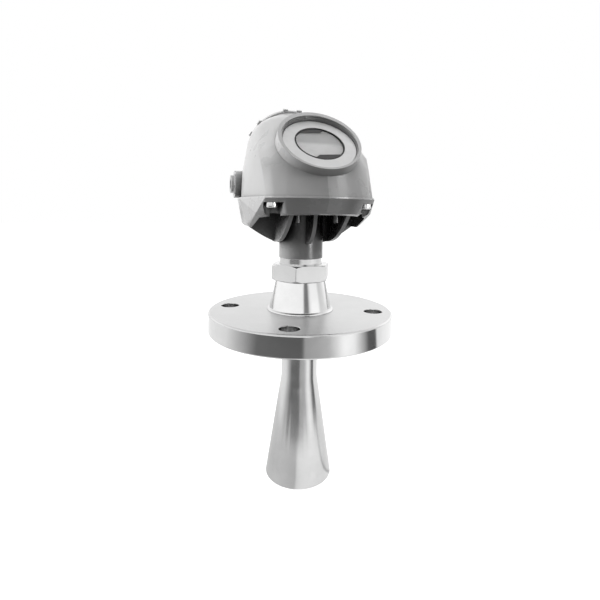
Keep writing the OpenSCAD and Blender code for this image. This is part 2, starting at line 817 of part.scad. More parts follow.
module terminal_screws() {
    head_r = 3.6;
    head_h = 3;
    color("silver") at_block() for (i = [-1 : 1])
        translate([i * terminal_pitch, clamp_y, block_size[2] - clamp_drop + clamp_t]) difference() {
            union() {
                cylinder(r = head_r, h = head_h, $fn = COARSE);
                translate([0, 0, -clamp_t])
                    cylinder(r = terminal_screw_r, h = clamp_t + THIN, $fn = COARSE);
            }
            screw_slot(head_r, head_h);
        }
}

module block_screws() {
    grip = 3;
    head_r = 3;
    head_h = 2.2;
    color("silver") at_block_screws() difference() {
        union() {
            translate([0, 0, -grip])
                cylinder(r = block_screw_r, h = block_size[2] + grip + THIN, $fn = COARSE);
            translate([0, 0, block_size[2]]) cylinder(r = head_r, h = head_h, $fn = COARSE);
        }
        translate([0, 0, block_size[2] + head_h / 2]) cylinder(r = head_r / 2, h = head_h, $fn = 6);
    }
}

module inner_ground_screw() {
    drop = 22;
    stand = 3;
    head_r = 4.5;
    head_h = 3.2;
    color("silver") at_cover() translate([0, -drop, -partition_depth]) difference() {
        union() {
            cylinder(r = ground_screw_r, h = stand + THIN, $fn = COARSE);
            translate([0, 0, stand]) cylinder(r = head_r, h = head_h, $fn = COARSE);
        }
        translate([0, 0, stand]) screw_slot(head_r, head_h);
    }
}

// --- Ground screw outside --------------------------------------------------------------------

// On the right side of the base, ahead of the conduit entry
module at_ground() {
    ahead = 2;
    drop = 11;
    translate([side_x - 0.4, -ahead, z_seam - drop]) rotate([0, 90, 0]) children();
}

module ground_clamp() {
    size = 12;
    color("silver") at_ground() difference() {
        translate([-size / 2, -size / 2, 0]) cube([size, size, ground_clamp_t]);
        translate([0, 0, -PAST])
            cylinder(r = ground_screw_r + run_fit, h = ground_clamp_t + 2 * PAST, $fn = COARSE);
    }
}

module outer_ground_screw() {
    grip = 6;
    head_r = 4.6;
    head_h = 3.2;
    color("silver") at_ground() difference() {
        union() {
            translate([0, 0, -grip])
                cylinder(r = ground_screw_r, h = grip + ground_clamp_t + THIN, $fn = COARSE);
            translate([0, 0, ground_clamp_t]) cylinder(r = head_r, h = head_h, $fn = COARSE);
        }
        translate([0, 0, ground_clamp_t]) screw_slot(head_r, head_h);
    }
}

// --- Conduit plug ---------------------------------------------------------------------------

module plug_washer() {
    color("silver") at_conduit(-1) ring(plug_neck_r, conduit_hole_r + 0.6, plug_washer_t);
}

module conduit_plug() {
    face_r = 9.65;
    face_h = 2.8;
    thread_len = 12;
    socket_r = 5.8;
    socket_depth = 5;
    color("gray") at_conduit(-1) difference() {
        union() {
            translate([0, 0, -thread_len])
                cylinder(r = conduit_hole_r - run_fit, h = thread_len, $fn = FINE);
            translate([0, 0, -THIN])
                cylinder(r = plug_neck_r - run_fit, h = plug_washer_t + 2 * THIN, $fn = FINE);
            translate([0, 0, plug_washer_t]) cylinder(r = face_r, h = face_h, $fn = FINE);
        }
        translate([0, 0, -socket_depth]) cylinder(r = socket_r, h = 2 * socket_depth, $fn = 6);
    }
}

// --- Terminal cover -------------------------------------------------------------------------

module cover_o_ring() {
    color("black") at_cover() translate([0, 0, -o_ring_d])
        o_ring(cover_thread_r - o_ring_d / 2, o_ring_d);
}

module terminal_cover() {
    spigot_wall = 5;
    edge = 1;
    shoulder_w = 2.5;
    lug_root = 3;
    lug_inset = 0.4;
    lug_half = (lug_w - lug_slot_w) / 2;
    hollow_past = 2;
    crown_r_top = cover_rim_r * 0.62;
    spigot_r = cover_thread_r;
    color("darkgray") at_cover() difference() {
        union() {
            rotate_extrude($fn = FINE) polygon([
                [0, 0], [cover_rim_r - edge, 0], [cover_rim_r, edge], [cover_rim_r, cover_rim_t - edge],
                [cover_rim_r - edge, cover_rim_t], [cover_rim_r - shoulder_w, cover_rim_t],
                [crown_r_top, cover_rim_t + cover_crown_h], [0, cover_rim_t + cover_crown_h]]);
            translate([0, 0, -cover_thread_len])
                cylinder(r = spigot_r, h = cover_thread_len + THIN, $fn = FINE);
            // Pairs of lugs, with room for a tool between the two
            for (i = [0 : lug_count - 1], side = [0, 1])
                rotate(90 + i * 360 / lug_count) mirror([0, side, 0])
                    translate([cover_rim_r - lug_root, lug_slot_w / 2, edge + lug_inset])
                        cube([lug_out + lug_root, lug_half, cover_rim_t - 2 * (edge + lug_inset)]);
        }
        // Hollow of the thread and groove of the O-ring
        translate([0, 0, -cover_thread_len - PAST])
            cylinder(r = spigot_r - spigot_wall, h = cover_thread_len + PAST + hollow_past, $fn = FINE);
        translate([0, 0, -o_ring_d * 1.6])
            ring(spigot_r - o_ring_d - 0.1, spigot_r + PAST, o_ring_d * 1.2);
    }
}

process_flange();
hub_adapter();
antenna_cone();
process_seal();
seal_o_ring();
swivel_o_ring();
slip_washer();
lock_nut();
swivel_adapter();
waveguide();
base_casting();
head_gasket();
head_shell();
corner_screws();
label_ring();
window_gasket();
display_window();
lcd_screen();
display_module();
electronics_board();
radar_module();
board_posts();
terminal_block();
terminal_clamps();
terminal_screws();
block_screws();
inner_ground_screw();
outer_ground_screw();
ground_clamp();
conduit_plug();
plug_washer();
cover_o_ring();
terminal_cover();
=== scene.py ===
"""Looks of a radar level transmitter: a cone antenna under a flange, and a swivelling head with a display.
Metres, +Z up, the origin in the centre of the flange's lower face. The display looks along -Y."""

import json
import math

import bmesh
import bpy
from mathutils import Matrix, Vector

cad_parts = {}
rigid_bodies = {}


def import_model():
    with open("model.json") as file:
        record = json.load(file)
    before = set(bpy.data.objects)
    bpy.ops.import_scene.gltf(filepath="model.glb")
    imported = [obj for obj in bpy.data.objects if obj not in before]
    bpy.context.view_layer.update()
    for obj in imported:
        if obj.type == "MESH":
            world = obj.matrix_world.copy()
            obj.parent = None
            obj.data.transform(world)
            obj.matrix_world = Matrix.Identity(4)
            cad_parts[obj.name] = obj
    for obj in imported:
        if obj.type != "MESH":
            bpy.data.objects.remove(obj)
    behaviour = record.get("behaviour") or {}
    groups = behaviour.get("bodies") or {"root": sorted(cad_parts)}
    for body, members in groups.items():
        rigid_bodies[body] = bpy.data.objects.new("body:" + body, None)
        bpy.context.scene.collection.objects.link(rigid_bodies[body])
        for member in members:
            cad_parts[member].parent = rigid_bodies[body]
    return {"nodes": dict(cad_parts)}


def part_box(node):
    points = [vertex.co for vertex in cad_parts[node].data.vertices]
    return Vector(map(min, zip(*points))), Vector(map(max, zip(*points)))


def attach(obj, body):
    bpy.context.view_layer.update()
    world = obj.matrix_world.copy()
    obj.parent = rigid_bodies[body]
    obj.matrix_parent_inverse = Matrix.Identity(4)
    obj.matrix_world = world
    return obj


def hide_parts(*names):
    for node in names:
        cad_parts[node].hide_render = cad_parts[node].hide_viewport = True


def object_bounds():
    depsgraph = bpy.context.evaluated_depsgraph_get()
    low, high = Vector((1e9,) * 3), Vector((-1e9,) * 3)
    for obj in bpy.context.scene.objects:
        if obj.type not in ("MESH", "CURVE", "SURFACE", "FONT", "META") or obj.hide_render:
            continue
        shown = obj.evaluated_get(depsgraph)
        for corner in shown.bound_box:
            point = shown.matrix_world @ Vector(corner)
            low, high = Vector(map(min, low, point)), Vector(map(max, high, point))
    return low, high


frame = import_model()
CAD_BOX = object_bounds()
MM = 0.001
FULL_TURN = 2 * math.pi

# A CAD solid's loose triangles are joined within a distance and made whole faces below an angle. Its
# edges are rounded above another angle, and shaded smooth below the last, which is in degrees.
JOINED_WITHIN = 0.002 * MM
FLAT_BELOW = math.radians(0.3)
ROUNDED_ABOVE = math.radians(35)
SMOOTH_BELOW = 40
ROUND_STEPS = 96
NOSE_WITHIN = 0.05 * MM

# The display has a frame of its own on the label ring's face. Its +Z points out of the head, raised by
# the tilt.
DISPLAY_TILT = math.radians(44)
LABEL_T = 2 * MM
WINDOW_R = 22.9 * MM
GLASS_TOP = -0.4 * MM
GLASS_T = 0.7 * MM
SCREEN_R = 22.4 * MM
SCREEN_T = 1.2 * MM
SCREEN_TOP = -1.2 * MM
DISC_EDGE = 0.2 * MM
RIM_HALF_WIDTH = 0.35 * MM
RIM_BOTTOM = -0.6 * MM
RIM_TOP = 0.25 * MM

# The screen's picture is turned a little in the display, and a soft line runs across its middle
PICTURE_HALF = 16.4 * MM
PICTURE_TURN = math.radians(5.5)
PICTURE_LINE = (-2.5 * MM, 3.5 * MM)

# The print on the glass runs along the rim from its first corner to the edge of the picture
PRINT_R = WINDOW_R - 0.4 * MM
PRINT_START = math.radians(63.6)
PRINT_SLANT_X = 5.5 * MM
PRINT_STEPS = 28
PRINT_T = 0.15 * MM
PRINT_LEVEL = -0.35 * MM

# Middle of the display, on the face of the label ring
label_low, label_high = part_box("label_ring")
DISPLAY_CENTRE = (label_low + label_high) / 2 + Vector(
    (0, -math.cos(DISPLAY_TILT), math.sin(DISPLAY_TILT))) * LABEL_T / 2

# The camera's place is in millimetres from the middle of the flange's top, before the turn
FLANGE_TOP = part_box("process_flange")[1].z
VIEW_TURN = math.radians(-16)
VIEW_ROLL = math.radians(0.81)
VIEW_PLACE = Vector((-1.44, -430.2, 102.7))
LENS = 24.312
LENS_SHIFT = -0.1477

FLOOR_Z = CAD_BOX[0][2] - 0.5 * MM
FLOOR_R = 8.0

# Strength of the white background as a light, and of its upper part in metal. The upper part
# starts where a ray rises by these shares of its length.
SKY_LIGHT = 0.25
SKY_SHEEN = 0.95
SKY_RISE = (0.45, 0.75)

# The floor's paper as a light and to the eye, and its own glow to the eye, which grows with distance
FLOOR_BOUNCE = 0.1
FLOOR_TONE = 0.5
FLOOR_GLOW = (0.85, 1.0)
FLOOR_GLOW_REACH = (0.5, 2.5)

# The studio as bare metal sees it, all round from behind the object and back: the share of a turn
# from there, anticlockwise, and the brightness. The walls stand round it, and cards lie on the floor:
# close to the object, a little way off and far off. +X lies X_FROM_BEHIND of a turn from the start.
WALLS = [(0.0, 1.2), (0.08, 1.15), (0.17, 1.35), (0.53, 1.3), (0.545, 0.45), (0.555, 0.25), (0.582, 0.25),
         (0.6, 0.9), (0.618, 1.3), (0.705, 1.3), (0.73, 0.85), (0.79, 1.0), (0.84, 1.4),
         (0.9, 1.35), (0.94, 1.2), (1.0, 1.2)]
FAR_CARDS = [(0.0, 0.9), (0.29, 0.85), (0.325, 0.7), (0.335, 0.2), (0.475, 0.2), (0.49, 0.6), (0.53, 1.05),
             (0.65, 1.05), (0.67, 1.2), (0.74, 1.1), (0.78, 0.9), (1.0, 0.9)]
CARDS = [(0.0, 1.1), (0.06, 1.1), (0.12, 0.95), (0.25, 0.95), (0.31, 0.5), (0.37, 0.06), (0.51, 0.05),
         (0.514, 0.42), (0.585, 0.52), (0.635, 1.25), (0.667, 1.25), (0.712, 0.35), (0.726, 0.04),
         (0.762, 0.02), (0.768, 1.1), (1.0, 1.1)]
NEAR_CARDS = [(0.0, 0.8), (0.08, 0.7), (0.4, 0.7), (0.48, 0.62), (0.49, 0.95), (0.52, 1.1), (0.715, 1.1),
              (0.725, 0.6), (0.735, 0.6), (0.745, 0.95), (1.0, 0.85)]
BRIGHTEST = 2.0
X_FROM_BEHIND = 0.75 - VIEW_TURN / FULL_TURN

# Distances over which one set of cards gives way to the next, and the last one dims to the horizon
CARDS_START = (0.24, 0.32)
FAR_CARDS_START = (0.9, 1.1)
HORIZON = (2.8, 3.6)
HORIZON_SHEEN = 0.25


# --- Shapes ---------------------------------------------------------------------------------

def merged_copy(node):
    """The CAD solid with its loose triangles joined and its flat faces whole."""
    bm = bmesh.new()
    bm.from_mesh(frame["nodes"][node].data)
    bmesh.ops.remove_doubles(bm, verts=bm.verts, dist=JOINED_WITHIN)
    bmesh.ops.dissolve_limit(bm, angle_limit=FLAT_BELOW, use_dissolve_boundaries=False,
                             verts=bm.verts, edges=bm.edges, delimit={"NORMAL"})
    return bm


def round_edges(bm, width, segments=3):
    """Rounds the edges that turn enough to need it."""
    edges = [e for e in bm.edges if len(e.link_faces) == 2 and e.calc_face_angle() > ROUNDED_ABOVE]
    bmesh.ops.bevel(bm, geom=edges, offset=width, offset_type="OFFSET", affect="EDGES", segments=segments,
                    profile=0.5, clamp_overlap=True, material=-1)


def put_in_order(bm):
    """Sorts a bmesh's edges and faces by their corners, because solidify and spin leave them in any order."""
    bm.verts.index_update()
    count = len(bm.verts)

    def place(part):
        corners = sorted(corner.index for corner in part.verts)
        return (corners[0] * count + corners[1]) * count + corners[-1]

    bm.edges.sort(key=place)
    bm.faces.sort(key=place)


def to_piece(name, bm, body, slot, smooth_below=SMOOTH_BELOW, creased=None):
    """A finished piece from a bmesh. Its edges are sharp where they turn more than the given angle, in
    degrees, and where both their ends are creased."""
    mesh = bpy.data.meshes.new(name)
    bm.to_mesh(mesh)
    bm.free()
    mesh.materials.append(FINISH[slot])
    mesh.shade_smooth()
    mesh.set_sharp_from_angle(angle=math.radians(smooth_below))
    if creased:
        for edge in mesh.edges:
            if all(creased(mesh.vertices[i].co) for i in edge.vertices):
                edge.use_edge_sharp = True
    piece = bpy.data.objects.new(name, mesh)
    bpy.context.scene.collection.objects.link(piece)
    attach(piece, body)
    return piece


def weigh_normals(piece):
    """Lets the large faces rule the shading of the rounded edges between them."""
    weighting = piece.modifiers.new("even_faces", "WEIGHTED_NORMAL")
    weighting.keep_sharp = True
    weighting.weight = 60


def refined(node, body, slot, width=0, smooth_below=SMOOTH_BELOW, creased=None):
    """A piece that stands for a CAD solid, with its edges rounded by a width in millimetres."""
    bm = merged_copy(node)
    if width:
        round_edges(bm, width * MM)
    piece = to_piece(node + "_finish", bm, body, slot, smooth_below, creased)
    weigh_normals(piece)
    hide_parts(node)
    return piece


# --- Nodes ----------------------------------------------------------------------------------

def grey(value):
    """A colour with three equal parts."""
    return (value, value, value, 1)


def feed(tree, node, values):
    """Links a node's inputs to the sockets that are given for them, and sets the others to their values."""
    for label, value in values.items():
        if isinstance(value, bpy.types.NodeSocket):
            tree.links.new(value, node.inputs[label])
        else:
            node.inputs[label].default_value = value


def node_in(tree, kind, values=None, **settings):
    """A new node with its settings, and with values or sockets for its inputs."""
    node = tree.nodes.new(kind)
    for key, value in settings.items():
        setattr(node, key, value)
    feed(tree, node, values or {})
    return node


def maths(tree, operation, *values):
    """What a maths node makes of its numbers or sockets."""
    return node_in(tree, "ShaderNodeMath", dict(enumerate(values)), operation=operation).outputs[0]


def mixed(tree, share, low, high):
    """A number between two, by a share, each a number or a socket."""
    return maths(tree, "ADD", maths(tree, "MULTIPLY", maths(tree, "SUBTRACT", 1.0, share), low),
                 maths(tree, "MULTIPLY", share, high))


def ranged(tree, value, start, end, low=0.0, high=1.0, run="LINEAR"):
    """Runs from low to high while a value runs from start to end."""
    values = {"Value": value, "From Min": start, "From Max": end, "To Min": low, "To Max": high}
    return node_in(tree, "ShaderNodeMapRange", values, interpolation_type=run).outputs["Result"]


def blended(tree, share, first, second):
    """A colour between two, by a share."""
    values = {"Factor": share, "A": first, "B": second}
    return node_in(tree, "ShaderNodeMix", values, data_type="RGBA").outputs["Result"]


def noise(tree, place, size, detail=2.0, roughness=0.5):
    """Cloudy noise with about so many clouds to a metre."""
    values = {"Vector": place, "Scale": size, "Detail": detail, "Roughness": roughness}
    return node_in(tree, "ShaderNodeTexNoise", values).outputs["Fac"]


def bumped(tree, height, strength, depth, **over):
    """The normal of a surface with a small relief on it, in millimetres, over another normal if given."""
    values = {"Height": height, "Strength": strength, "Distance": depth * MM, **over}
    return node_in(tree, "ShaderNodeBump", values).outputs["Normal"]


# --- Node groups ----------------------------------------------------------------------------

def new_group(name, inputs, outputs):
    """A shader node group with named sockets. Each input is a name, a socket type and a value."""
    group = bpy.data.node_groups.new(name, "ShaderNodeTree")
    for label, kind, value in inputs:
        socket = group.interface.new_socket(label, in_out="INPUT", socket_type=kind)
        if value is not None:
            socket.default_value = value
    for label, kind in outputs:
        group.interface.new_socket(label, in_out="OUTPUT", socket_type=kind)
    return group, group.nodes.new("NodeGroupInput"), group.nodes.new("NodeGroupOutput")


def mottle_group():
    """Slow variation of a surface: a colour between two, and the share between them."""
    group, given, made = new_group(
        "mottle",
        [("Vector", "NodeSocketVector", None), ("Size", "NodeSocketFloat", 40.0),
         ("Dark", "NodeSocketColor", grey(0.2)), ("Light", "NodeSocketColor", grey(0.4))],
        [("Color", "NodeSocketColor"), ("Share", "NodeSocketFloat")])
    darkest_at, lightest_at = 0.3, 0.7
    clouds = noise(group, given.outputs["Vector"], given.outputs["Size"], detail=5, roughness=0.6)
    share = ranged(group, clouds, darkest_at, lightest_at, run="SMOOTHSTEP")
    colour = blended(group, share, given.outputs["Dark"], given.outputs["Light"])
    feed(group, made, {"Color": colour, "Share": share})
    return group


def edge_group():
    """Edges rounded in the shading, and a mask of where they are, broken up by noise."""
    group, given, made = new_group(
        "edges",
        [("Radius", "NodeSocketFloat", 0.001), ("Breakup", "NodeSocketFloat", 0.3)],
        [("Normal", "NodeSocketVector"), ("Mask", "NodeSocketFloat")])
    least_bend, full_bend = 0.03, 0.14
    plain = node_in(group, "ShaderNodeNewGeometry").outputs["Normal"]
    bevel = node_in(group, "ShaderNodeBevel", {"Radius": given.outputs["Radius"]}, samples=6)
    rounded = bevel.outputs["Normal"]
    agreement = node_in(group, "ShaderNodeVectorMath", {0: rounded, 1: plain}, operation="DOT_PRODUCT")
    bend = maths(group, "SUBTRACT", 1.0, agreement.outputs["Value"])
    clouds = noise(group, node_in(group, "ShaderNodeTexCoord").outputs["Object"], size=260, detail=4)
    gaps = maths(group, "MULTIPLY", clouds, given.outputs["Breakup"])
    broken = maths(group, "SUBTRACT", ranged(group, bend, least_bend, full_bend), gaps)
    feed(group, made, {"Normal": rounded, "Mask": maths(group, "MAXIMUM", broken, 0.0)})
    return group


def turned_group():
    """The height of fine rings round the Z axis of its vector, as a lathe leaves them."""
    group, given, made = new_group(
        "turned_rings",
        [("Vector", "NodeSocketVector", None), ("Rings", "NodeSocketFloat", 1500.0)],
        [("Height", "NodeSocketFloat")])
    wander = 0.5
    x, y, z = node_in(group, "ShaderNodeSeparateXYZ", {0: given.outputs["Vector"]}).outputs
    squares = maths(group, "ADD", maths(group, "MULTIPLY", x, x), maths(group, "MULTIPLY", y, y))
    along = maths(group, "ADD", maths(group, "SQRT", squares), z)
    angle = maths(group, "ARCTAN2", y, x)
    lane = node_in(group, "ShaderNodeCombineXYZ", {
        0: maths(group, "MULTIPLY", along, given.outputs["Rings"]),
        1: maths(group, "MULTIPLY", maths(group, "COSINE", angle), wander),
        2: maths(group, "MULTIPLY", maths(group, "SINE", angle), wander)})
    feed(group, made, {"Height": noise(group, lane.outputs[0], size=1.0, detail=3)})
    return group


def hollow_shade_group():
    """A mask for painted shade: how closed in the corners and hollow places are."""
    group, given, made = new_group(
        "hollow_shade", [("Reach", "NodeSocketFloat", 0.02), ("Strength", "NodeSocketFloat", 0.5)],
        [("Mask", "NodeSocketFloat")])
    gain = 1.6
    hollow = node_in(group, "ShaderNodeAmbientOcclusion", {"Distance": given.outputs["Reach"]}, samples=8)
    closed = maths(group, "SUBTRACT", 1.0, hollow.outputs["AO"])
    strong = maths(group, "MINIMUM", maths(group, "MULTIPLY", closed, gain), 1.0)
    feed(group, made, {"Mask": maths(group, "MULTIPLY", strong, given.outputs["Strength"])})
    return group


MOTTLE = mottle_group()
HOLLOW_SHADE = hollow_shade_group()
EDGES = edge_group()
TURNED = turned_group()


def placed_group(tree, group, **values):
    """A group in a material, with values or sockets for its inputs."""
    return node_in(tree, "ShaderNodeGroup", values, node_tree=group)


# --- Materials ------------------------------------------------------------------------------

def start_material(name, metallic=0.0):
    """A new material, its node tree, its shader, and the place on the piece that patterns follow."""
    material = bpy.data.materials.new(name)
    material.use_nodes = True
    tree = material.node_tree
    shader = tree.nodes["Principled BSDF"]
    shader.inputs["Metallic"].default_value = metallic
    return material, tree, shader, node_in(tree, "ShaderNodeTexCoord").outputs["Object"]


def roughness_between(tree, share, low, high):
    """Roughness between two values, by a share."""
    return ranged(tree, share, 0.0, 1.0, low, high)


def on_flat_faces(tree, amount):
    """A value on the faces that look straight up or down, and nothing elsewhere."""
    upright = 0.95
    normal = node_in(tree, "ShaderNodeNewGeometry").outputs["True Normal"]
    rise = node_in(tree, "ShaderNodeSeparateXYZ", {0: normal}).outputs[2]
    level = maths(tree, "GREATER_THAN", maths(tree, "ABSOLUTE", rise), upright)
    return maths(tree, "MULTIPLY", level, amount)


def painted(name, dark, light, edge, roughness, radius, reach, shade_strength):
    """Satin paint on a casting: orange peel, slow changes of tone, paler rubbed edges, and painted shade
    that darkens its hollow places. Its edges' radius and the reach of its painted shade are in millimetres."""
    # The near-black grey that the painted shade in hollow places runs towards, and the share of grey on
    # rubbed edges
    shade_grey, rubbed_share = 0.012, 0.55
    material, tree, shader, place = start_material(name)
    mottle = placed_group(tree, MOTTLE, Vector=place, Size=26.0, Dark=grey(dark), Light=grey(light))
    edges = placed_group(tree, EDGES, Radius=radius * MM, Breakup=0.35)
    hollow_shade = placed_group(tree, HOLLOW_SHADE, Reach=reach * MM, Strength=shade_strength)
    rubbed = maths(tree, "MULTIPLY", edges.outputs["Mask"], rubbed_share)
    worn = blended(tree, rubbed, mottle.outputs["Color"], grey(edge))
    peel = noise(tree, place, size=850, detail=3)
    feed(tree, shader, {
        # Painted shade: the colour darkens towards near black where corners and recesses are closed in
        "Base Color": blended(tree, hollow_shade.outputs["Mask"], worn, grey(shade_grey)),
        "Roughness": roughness_between(tree, mottle.outputs["Share"], *roughness),
        "Normal": bumped(tree, peel, strength=0.5, depth=0.035, Normal=edges.outputs["Normal"])})
    return material


def steel(name, dark, light, roughness, rings=1500.0, depth=0.006, radius=0.6, faced=0.0):
    """Machined steel: rings left by the lathe, slow stains, brighter edges and coarser faced ends.
    Its rings' depth and its edges' radius are in millimetres."""
    brighter, brightest = 1.15, 0.95
    material, tree, shader, place = start_material(name, metallic=1.0)
    mottle = placed_group(tree, MOTTLE, Vector=place, Size=18.0, Dark=grey(dark), Light=grey(light))
    edges = placed_group(tree, EDGES, Radius=radius * MM, Breakup=0.2)
    turned = placed_group(tree, TURNED, Vector=place, Rings=rings)
    bright = grey(min(light * brighter, brightest))
    rough = roughness_between(tree, mottle.outputs["Share"], *roughness)
    if faced:
        rough = maths(tree, "ADD", rough, on_flat_faces(tree, faced))
    ringed = bumped(tree, turned.outputs["Height"], strength=0.6, depth=depth, Normal=edges.outputs["Normal"])
    feed(tree, shader, {
        "Base Color": blended(tree, edges.outputs["Mask"], mottle.outputs["Color"], bright),
        "Roughness": rough,
        "Normal": ringed})
    return material


def moulded(name, dark, light, roughness, grain_size=1400, depth=0.02, radius=0.4):
    """Moulded plastic or rubber: a fine grain and slow shade changes.
    Its grain's depth and its edges' radius are in millimetres."""
    material, tree, shader, place = start_material(name)
    mottle = placed_group(tree, MOTTLE, Vector=place, Size=60.0, Dark=grey(dark), Light=grey(light))
    edges = placed_group(tree, EDGES, Radius=radius * MM, Breakup=0.4)
    grain = noise(tree, place, grain_size)
    feed(tree, shader, {
        "Base Color": mottle.outputs["Color"],
        "Roughness": roughness_between(tree, mottle.outputs["Share"], *roughness),
        "Normal": bumped(tree, grain, strength=0.4, depth=depth, Normal=edges.outputs["Normal"])})
    return material


def tinted(material, colour_dark, colour_light):
    """Gives a material's mottle two colours of its own."""
    for node in material.node_tree.nodes:
        if node.type == "GROUP" and node.node_tree == MOTTLE:
            node.inputs["Dark"].default_value = (*colour_dark, 1)
            node.inputs["Light"].default_value = (*colour_light, 1)
    return material


def screen_picture():
    """The picture field: grey with a fine grid, darker to the right and above a soft line in its middle."""
    lower_dark, lower_light, upper = 0.5, 0.56, 0.36
    left_shade, right_shade = 1.0, 0.8
    material, tree, shader, place = start_material("screen_finish")
    own = node_in(tree, "ShaderNodeMapping", {
        "Vector": place, "Location": DISPLAY_CENTRE, "Rotation": (math.pi / 2 - DISPLAY_TILT, 0, 0)},
        vector_type="TEXTURE")
    x, y, _ = node_in(tree, "ShaderNodeSeparateXYZ", {0: own.outputs["Vector"]}).outputs
    mottle = placed_group(tree, MOTTLE, Vector=place, Size=90.0, Dark=grey(lower_dark),
                          Light=grey(lower_light))
    above = ranged(tree, y, *PICTURE_LINE, run="SMOOTHSTEP")
    across = ranged(tree, x, -SCREEN_R, SCREEN_R, left_shade, right_shade)
    field = blended(tree, above, mottle.outputs["Color"], grey(upper))
    shade = node_in(tree, "ShaderNodeVectorMath", {0: field, "Scale": across}, operation="SCALE")
    grid = node_in(tree, "ShaderNodeTexWave", {"Vector": place, "Scale": 900})
    feed(tree, shader, {
        "Base Color": shade.outputs["Vector"],
        "Roughness": roughness_between(tree, mottle.outputs["Share"], low=0.42, high=0.5),
        "Normal": bumped(tree, grid.outputs["Fac"], strength=0.1, depth=0.01)})
    return material


def window_glass():
    """Clear toughened glass with faint smears."""
    material, tree, shader, place = start_material("window_glass_finish")
    smears = placed_group(tree, MOTTLE, Vector=place, Size=45.0)
    feed(tree, shader, {
        "Base Color": grey(0.97), "Transmission Weight": 1.0, "IOR": 1.08,
        "Roughness": roughness_between(tree, smears.outputs["Share"], low=0.01, high=0.05)})
    return material


# Each material slot's finish. The numbers are its darkest and lightest grey, for paint the grey of its
# rubbed edges too, and the range of its roughness.
FINISH = {
    "flange_steel": steel("flange_steel_finish", 0.58, 0.68, (0.1, 0.16), rings=500.0, depth=0.0015,
                          radius=0.8, faced=0.2),
    "hub_steel": steel("hub_steel_finish", 0.64, 0.74, (0.12, 0.18), rings=500.0, depth=0.0015, radius=0.8),
    "antenna_steel": steel("antenna_steel_finish", 0.56, 0.66, (0.16, 0.24), rings=400.0, depth=0.002,
                           radius=0.5),
    "nut_steel": steel("nut_steel_finish", 0.66, 0.76, (0.2, 0.28), rings=900.0, depth=0.002, radius=0.8),
    "swivel_steel": steel("swivel_steel_finish", 0.66, 0.78, (0.16, 0.26), rings=1600.0, depth=0.004,
                          radius=0.5),
    "screw_steel": steel("screw_steel_finish", 0.6, 0.75, (0.2, 0.32), rings=2600.0, depth=0.003, radius=0.4),
    "plug_steel": steel("plug_steel_finish", 0.4, 0.52, (0.3, 0.42), rings=2200.0, depth=0.006, radius=0.5),
    "module_metal": steel("module_metal_finish", 0.6, 0.7, (0.3, 0.4), rings=300.0, depth=0.002, radius=0.4),
    "waveguide_metal": steel("waveguide_metal_finish", 0.5, 0.6, (0.25, 0.35)),
    "post_brass": tinted(steel("post_brass_finish", 0.5, 0.6, (0.25, 0.35)),
                         (0.62, 0.45, 0.17), (0.72, 0.54, 0.24)),
    # For paint, the reach in millimetres and the strength set the painted shade in its hollow places
    "base_paint": painted("base_paint_finish", 0.42, 0.46, 0.6, (0.22, 0.3), radius=0.5, reach=40,
                          shade_strength=0.96),
    "shell_paint": painted("shell_paint_finish", 0.44, 0.48, 0.5, (0.26, 0.36), radius=0.3, reach=9,
                           shade_strength=0.75),
    "cover_paint": painted("cover_paint_finish", 0.46, 0.5, 0.62, (0.3, 0.42), radius=0.5, reach=6,
                           shade_strength=0.5),
    "seal_plastic": moulded("seal_plastic_finish", 0.72, 0.8, (0.35, 0.5), radius=0.8),
    "washer_plastic": moulded("washer_plastic_finish", 0.7, 0.78, (0.35, 0.5)),
    "seal_rubber": moulded("seal_rubber_finish", 0.02, 0.035, (0.5, 0.65)),
    "label_metal": moulded("label_metal_finish", 0.62, 0.68, (0.3, 0.42), grain_size=2600, depth=0.008),
    "screen": screen_picture(),
    "display_plastic": moulded("display_plastic_finish", 0.02, 0.03, (0.35, 0.5)),
    "board_plastic": tinted(moulded("board_plastic_finish", 0.1, 0.2, (0.4, 0.55)),
                            (0.02, 0.12, 0.05), (0.03, 0.16, 0.07)),
    "block_plastic": moulded("block_plastic_finish", 0.03, 0.05, (0.4, 0.55)),
    "window_glass": window_glass(),
}


# --- Pieces ---------------------------------------------------------------------------------

# Node, body, material slot, width of its rounded edges in millimetres
REFINED = [
    ("process_flange", "process", "flange_steel", 0.5),
    ("hub_adapter", "process", "hub_steel", 0.5),
    ("antenna_cone", "process", "antenna_steel", 0.3),
    ("process_seal", "process", "seal_plastic", 0.8),
    ("slip_washer", "nut_washer", "washer_plastic", 0.1),
    ("lock_nut", "nut", "nut_steel", 0.9),
    ("swivel_adapter", "head", "swivel_steel", 0.4),
    ("corner_screws", "head", "screw_steel", 0.25),
    ("label_ring", "head", "label_metal", 0.3),
    ("conduit_plug", "head", "plug_steel", 0.5),
    ("plug_washer", "head", "screw_steel", 0.15),
    ("ground_clamp", "head", "screw_steel", 0.3),
    ("outer_ground_screw", "head", "screw_steel", 0.3),
]

# Node, body, material slot, angle in degrees above which its edges stay sharp
CAST = [
    ("terminal_cover", "cover", "cover_paint", 5),
    ("base_casting", "head", "base_paint", 20),
    ("head_shell", "head", "shell_paint", 12),
]

# Pieces that the lamps on the right are kept off
BARE_METAL = ["process_flange_finish", "hub_adapter_finish", "antenna_cone_finish", "lock_nut_finish",
              "swivel_adapter_finish"]


def on_the_nose(corner):
    """True on the upright line at the middle of the head's front."""
    return abs(corner.x) < NOSE_WITHIN and corner.y < DISPLAY_CENTRE.y


def at_display():
    """From the display's own frame to the part's."""
    return Matrix.Translation(DISPLAY_CENTRE) @ Matrix.Rotation(math.pi / 2 - DISPLAY_TILT, 4, "X")


def at_picture():
    """From the picture's frame, which is turned a little in the display's, to the part's."""
    return at_display() @ Matrix.Rotation(PICTURE_TURN, 4, "Z")


